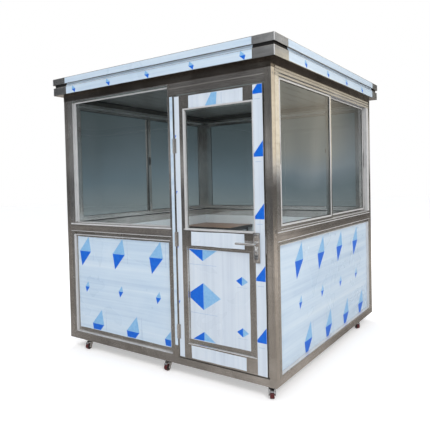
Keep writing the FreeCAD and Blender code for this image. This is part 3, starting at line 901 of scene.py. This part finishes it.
# -------- door
def lock_cover(centre, half, hole, hole_radius, out):
    """A pillowed plate with rounded corners and a round hole for the lever."""
    segments = 72
    angles = [2 * math.pi * i / segments for i in range(segments)]

    def at(angle, away, rise):
        return hole[0] + away * math.cos(angle), hole[1] + away * math.sin(angle), out + rise

    def reach(angle, width, height):
        """How far the plate's rounded outline lies from the hole's centre."""
        near, far = 0.0, 300.0
        for _ in range(40):
            middle = (near + far) / 2
            x = (hole[0] - centre[0] + middle * math.cos(angle)) / width
            z = (hole[1] - centre[1] + middle * math.sin(angle)) / height
            if abs(x) ** 7 + abs(z) ** 7 < 1:
                near = middle
            else:
                far = middle
        return near

    points = []
    for inset in (0, 0.4, 1.4, 3.2, 5.4):
        rise = 3.4 * math.sqrt(1 - (1 - inset / 7.0) ** 2)
        points += [at(a, reach(a, half[0] - inset, half[1] - inset), rise) for a in angles]
    for rise in (3.7, -0.5):
        points += [at(a, hole_radius, rise) for a in angles]
    faces = []
    for start in range(0, len(points) - segments, segments):
        for i in range(segments):
            k = (i + 1) % segments
            faces.append((start + i, start + k, start + segments + k, start + segments + i))
    return new_mesh(points, faces)


def make_lock_details():
    """The lock's rounded cover, cylinder, screws and keyway, and the lever's rose."""
    out = outward("front")
    plate = front_out("door_lock_plates", 0)

    def at(z):
        return spot("front", LOCK_LINE, z, plate)

    meshes = [turned([(0, 7), (5.5, 7), (8.4, 6), (8.6, 0)], at(860), out, 28),
              turned([(0, 4.5), (4.2, 4.5), (4.6, 0)], at(845), out, 20)]
    for z in (799, 975):
        meshes.append(turned([(0, 3.6), (2.4, 3.5), (3.8, 2.8), (4.0, 0)], at(z), out, 16))
    cover = lock_cover((LOCK_LINE, 887), (22.5, 93), (LOCK_LINE, LEVER_HEIGHT), 15.6, plate)
    piece("lock_cover", cover, "door", "chrome", WALLS["front"], smooth=True)
    piece("lock_cylinder_and_screws", joined(meshes), "door", "chrome")
    keyway = wall_block("front", (1875.2, 855, plate + 6.6), (1876.8, 865, plate + 7.3), 0.2)
    piece("lock_keyway", keyway, "door", "gasket")
    profile = [(10.5, 0), (15.4, 0), (15.4, 4.4), (13, 6.0), (10.5, 6.4)]
    piece("lever_rose", turned(profile, at(LEVER_HEIGHT), out, 32), "door", "chrome")


HINGE_LINE = (0.209, -1.02)
HINGE_FIRST, HINGE_PITCH, HINGE_HEIGHT = 0.265, 0.668, 0.104
PIN_CAP = [(0, 2.6), (2.4, 2.2), (3.9, 0.8), (4.1, 0)]
KNUCKLE_LINE = [(5.8, -0.7), (6.25, -0.5), (6.25, 0.5), (5.8, 0.7)]


def make_hinge_pins():
    """Pin caps at the ends of each hinge, and the raised lines between its knuckles."""
    for index in range(3):
        z = HINGE_FIRST + HINGE_PITCH * index
        meshes = [turned(PIN_CAP, (*HINGE_LINE, z + HINGE_HEIGHT), UP, 16),
                  turned(PIN_CAP, (*HINGE_LINE, z), -UP, 16)]
        for share in (0.333, 0.667):
            meshes.append(turned(KNUCKLE_LINE, (*HINGE_LINE, z + HINGE_HEIGHT * share), UP, 24))
        piece("hinge_pin_%d" % (index + 1), joined(meshes), "door", "window")


def make_lock_edge():
    """The strike plate and strips on the post, and the lock's face on the edge of the leaf."""
    strike = wall_block("front", (1943.4, 852, -18), (1949.8, 952, 0.8), 0.5)
    piece("strike_plate", strike, "booth", "chrome")
    wall_blocks("jamb_strip", "front", [((1944, 62, -38), (1950.2, 850, -3), 0.8),
                                        ((1944, 954, -38), (1950.2, 1936, -3), 0.8)], "upright")
    face = wall_block("front", (1935.5, 850, -30), (1937.6, 950, -8), 0.3)
    piece("lock_face", face, "door", "chrome")


# -------- casters
# Outlines in millimetres, as (ahead of the swivel's axis, above the floor).
CHEEK = ((-15, 62), (15.5, 62), (27, 36), (30, 26), (27, 18), (20, 15), (13, 18), (9, 27), (2, 36))
LIP = ((15, 62), (18, 62), (32.5, 27), (30, 26))
CROWN = ((-16, 58.5), (18, 58.5), (18, 61.5), (-16, 61.5))
PEDAL = ((17, 59.5), (28, 57.5), (38, 52), (42, 46.5), (44, 47.2), (40, 54), (29.5, 60), (17.5, 62))
INNER, OUTER = 21, 22.4

SEAL_PROFILE = [(15, -1.2), (21.5, -1.2), (22.5, 0), (21.5, 3.4), (15, 3.4)]
HUB_PROFILE = [(5, 13.0), (7, 14.8), (9.5, 14.8), (11, 14.2), (17, 14.4), (21.4, 14.7),
               (22.3, 13.9), (22.3, 12.5), (5, 12.5)]
NUT_PROFILE = [(0, 25.2), (3.4, 25.0), (5.6, 24.2), (6.2, 22.2)]
BOLT_PROFILE = [(0, 3.2), (2.6, 3.0), (4.6, 2.2), (5.0, 0)]


def make_caster_shells(label, swivel, centre):
    """Pressed cheeks, crown, brake pedal and dust seal, on the axes of one caster's fork."""
    ahead = Vector((centre.x - swivel.x, centre.y - swivel.y, 0)).normalized()
    across = UP.cross(ahead)
    axes = Matrix((ahead, across, UP)).transposed().to_4x4()
    place = Matrix.Translation((swivel.x, swivel.y, 0)) @ axes @ Matrix.Scale(MM, 4)
    shells = [prism(CHEEK, INNER, OUTER), prism(CHEEK, -OUTER, -INNER), prism(LIP, 17.5, OUTER),
              prism(LIP, -OUTER, -17.5), prism(CROWN, -OUTER, OUTER)]
    for mesh in shells:
        mesh.transform(place)
    piece(label + "_shell", joined(shells), label, "zinc")
    pedal = prism(PEDAL, -14, 14)
    pedal.transform(place)
    piece(label + "_brake_pedal", pedal, label, "zinc")
    seal = turned(SEAL_PROFILE, (swivel.x, swivel.y, 0.0615), UP, 28)
    piece(label + "_dust_seal", seal, label, "hub")


def make_caster_details():
    """Plate bolts, axle nuts and hub discs, and the parts on each fork."""
    swivels = {joint["child"]: Vector(joint["pos_m"]) for joint in frame["joints"]}
    for joint in frame["joints"]:
        centre = Vector(joint["pos_m"])
        if joint["name"].endswith("_roll"):
            label, wheel = joint["parent"], joint["child"]
            ways = (Vector(joint["axis"]), -Vector(joint["axis"]))
            discs = [turned(HUB_PROFILE, centre, way, 36) for way in ways]
            nuts = [turned(NUT_PROFILE, centre, way, 6) for way in ways]
            piece(label + "_hubs", joined(discs), wheel, "hub")
            piece(label + "_axle_nuts", joined(nuts), label, "chrome")
            make_caster_shells(label, swivels[label], centre)
        elif joint["name"].endswith("_swivel"):
            bolts = [turned(BOLT_PROFILE, (centre.x + dx, centre.y + dy, 0.072), -UP, 6)
                     for dx in (-0.0245, 0.0245) for dy in (-0.0215, 0.0215)]
            piece(joint["child"] + "_plate_bolts", joined(bolts), "booth", "chrome")


# -------- welds
# Wall, place along and up it, size, and how much taller than wide.
WELDS = (("right", 27, 978, 14, 2.3), ("right", 24, 1985, 8, 1.4), ("right", 27, 130, 8, 2.0),
         ("front", 1188, 1985, 7, 1.2))
WELD_PROFILE = ((0, 1.1), (0.3, 1.0), (0.6, 0.75), (0.85, 0.3), (1, 0.02), (1, -0.3))


def make_weld_marks():
    """Ground weld spots on the near post and the door post, where rails join them."""
    meshes = []
    for wall, x, z, size, stretch in WELDS:
        profile = [(size * share, rise) for share, rise in WELD_PROFILE]
        centre = spot(wall, x, z, 0)
        mesh = turned(profile, centre, outward(wall), 32)
        mesh.transform(Matrix.Translation(centre) @ Matrix.Scale(stretch, 4, UP)
                       @ Matrix.Translation(-centre))
        meshes.append(mesh)
    piece("weld_spots", joined(meshes), "booth", "upright", smooth=True)


# -------- stage
# Colours by height, where 0 is straight down, 0.5 is level and 1 is straight up: what the steel
# mirrors, where the warm patch shows, and what is seen through the glass.
MIRRORED = (
    (0.0, (0.28, 0.25, 0.22)), (0.28, (0.42, 0.385, 0.35)), (0.43, (0.58, 0.53, 0.48)),
    (0.462, (0.14, 0.13, 0.12)), (0.492, (0.10, 0.10, 0.10)), (0.512, (0.66, 0.67, 0.69)),
    (0.545, (0.50, 0.50, 0.50)), (0.562, (0.13, 0.13, 0.125)), (0.60, (0.17, 0.165, 0.155)),
    (0.625, (0.44, 0.44, 0.44)), (0.70, (0.80, 0.81, 0.82)), (1.0, (0.95, 0.96, 0.98)))
WARM_BAND = ((0.505, 0.0), (0.53, 1.0), (0.628, 1.0), (0.65, 0.0))
THROUGH_GLASS = (
    (0.30, (0.25, 0.275, 0.28)), (0.47, (0.215, 0.25, 0.27)), (0.505, (0.13, 0.175, 0.21)),
    (0.54, (0.08, 0.107, 0.125)), (0.60, (0.045, 0.055, 0.053)))
WARM_SIDE = (0.643, 0.766, 0.10)
WARM_COLOUR = (1.05, 0.95, 0.76, 1.0)
SLATE_SIDE = (-0.72, -0.69, 0.0)
SLATE_COLOUR = (0.10, 0.115, 0.14, 1.0)


def make_world():
    """White to the camera, dim behind the windows, and a banded horizon for the steel to mirror."""
    world = bpy.data.worlds.new("studio")
    world.use_nodes = True
    tree = world.node_tree
    tree.nodes.clear()

    def add(kind, **inputs):
        node = tree.nodes.new("ShaderNode" + kind)
        for key, value in inputs.items():
            node.inputs[key.replace("_", " ")].default_value = value
        return node

    def link(a, b):
        tree.links.new(a, b)

    def ramp(source, stops):
        node = add("ValToRGB")
        set_stops(node, stops)
        link(source, node.inputs["Fac"])
        return node.outputs["Color"]

    def towards(side):
        """1 straight towards a direction, less away from it."""
        node = add("VectorMath")
        node.operation = "DOT_PRODUCT"
        node.inputs[1].default_value = side
        link(direction, node.inputs[0])
        return node.outputs["Value"]

    def blend(factor, first, colour):
        node = tree.nodes.new("ShaderNodeMix")
        node.data_type = "RGBA"
        link(factor, node.inputs[0])
        link(first, node.inputs[6])
        node.inputs[7].default_value = colour
        return node.outputs[2]

    def switch(factor, first, second):
        node = add("MixShader")
        link(factor, node.inputs[0])
        link(first.outputs[0], node.inputs[1])
        link(second.outputs[0], node.inputs[2])
        return node

    direction = add("TexCoord").outputs["Generated"]
    split = add("SeparateXYZ")
    link(direction, split.inputs[0])
    mapping = add("Mapping", Scale=(1.0, 1.0, 0.9))
    link(direction, mapping.inputs["Vector"])
    clouds = add("TexNoise", Scale=2.3, Detail=3.0)
    link(mapping.outputs["Vector"], clouds.inputs["Vector"])
    warp = add("MapRange", To_Min=-0.07, To_Max=0.07)
    link(clouds.outputs["Fac"], warp.inputs["Value"])
    height = add("MapRange", From_Min=-1.0)
    link(split.outputs["Z"], height.inputs["Value"])
    total = add("Math")
    link(height.outputs[0], total.inputs[0])
    link(warp.outputs[0], total.inputs[1])
    level = total.outputs[0]
    tone = ramp(level, MIRRORED)
    side = add("MapRange", From_Min=0.925, From_Max=0.955)
    link(towards(WARM_SIDE), side.inputs["Value"])
    warm = add("Math")
    warm.operation = "MULTIPLY"
    link(side.outputs[0], warm.inputs[0])
    link(ramp(level, WARM_BAND), warm.inputs[1])
    columns = add("Mapping", Scale=(5.5, 5.5, 0.5))
    link(direction, columns.inputs["Vector"])
    trunks = add("TexNoise", Scale=1.0, Detail=3.0, Roughness=0.6)
    link(columns.outputs["Vector"], trunks.inputs["Vector"])
    dim = add("MapRange", From_Min=0.38, From_Max=0.6, To_Min=0.45, To_Max=1.2)
    link(trunks.outputs["Fac"], dim.inputs["Value"])
    slate = add("MapRange", From_Min=0.80, From_Max=0.97, To_Max=0.45)
    link(towards(SLATE_SIDE), slate.inputs["Value"])
    tone = blend(slate.outputs[0], tone, SLATE_COLOUR)
    tone = blend(warm.outputs[0], tone, WARM_COLOUR)
    surroundings = add("Background")
    link(tone, surroundings.inputs["Color"])
    link(dim.outputs[0], surroundings.inputs["Strength"])
    behind = add("Background")
    link(ramp(level, THROUGH_GLASS), behind.inputs["Color"])
    backdrop = add("Background", Color=(1.0, 1.0, 1.0, 1.0))
    path = add("LightPath")
    through = switch(path.outputs["Is Transmission Ray"], surroundings, behind)
    seen = switch(path.outputs["Is Camera Ray"], through, backdrop)
    output = add("OutputWorld")
    link(seen.outputs[0], output.inputs["Surface"])
    bpy.context.scene.world = world


def lamp(name, place, target, size, power, colour=(1, 1, 1)):
    """A soft round lamp that shows in nothing it lights."""
    data = bpy.data.lights.new(name, "AREA")
    data.shape = "DISK"
    data.size = size
    data.energy = power
    data.color = colour
    thing = bpy.data.objects.new(name, data)
    thing.location = place
    aim = Vector(target) - Vector(place)
    thing.rotation_euler = aim.to_track_quat("-Z", "Y").to_euler()
    thing.visible_camera = False
    thing.visible_glossy = False
    thing.visible_transmission = False
    bpy.context.scene.collection.objects.link(thing)


def make_stage():
    """A plain pale floor and soft lamps."""
    bm = bmesh.new()
    bmesh.ops.create_circle(bm, cap_ends=True, segments=96, radius=30)
    mesh = finished(bm, "stage_floor")
    floor = bpy.data.objects.new("stage_floor", mesh)
    n = Nodes("stage_floor")
    n.set(Base_Color=(0.90, 0.90, 0.91), Roughness=0.9, Emission_Color=(1.0, 1.0, 1.0),
          Emission_Strength=0.35)
    mesh.materials.append(n.material)
    bpy.context.scene.collection.objects.link(floor)
    floor.visible_glossy = False
    floor.visible_transmission = False
    lamp("key", (6.0, -4.4, 6.0), (0, 0, 1.1), size=3.0, power=216, colour=(1.0, 0.98, 0.95))
    lamp("fill", (-4.5, -4.5, 6.0), (0, 0, 1.1), size=4.0, power=30, colour=(0.95, 0.97, 1.0))
    lamp("rim", (-4.0, 5.5, 6.0), (0, 0, 1.2), size=4.0, power=220)
    lamp("ceiling_lamp", (-0.1, 0.0, 2.05), (-0.1, 0.0, 0.0), size=1.2, power=22,
         colour=(0.97, 0.98, 1.0))
    settings = bpy.context.scene.view_settings
    settings.view_transform = "Standard"
    settings.look = "None"


make_camera()
make_world()
make_stage()
paint_nodes()
make_panel_films()
make_roof_films()
make_door_films()
make_beads()
make_ridges()
make_window_details()
make_linings()
make_ceiling()
make_desk_strips()
make_roof_details()
make_lock_details()
make_hinge_pins()
make_lock_edge()
make_caster_details()
make_weld_marks()
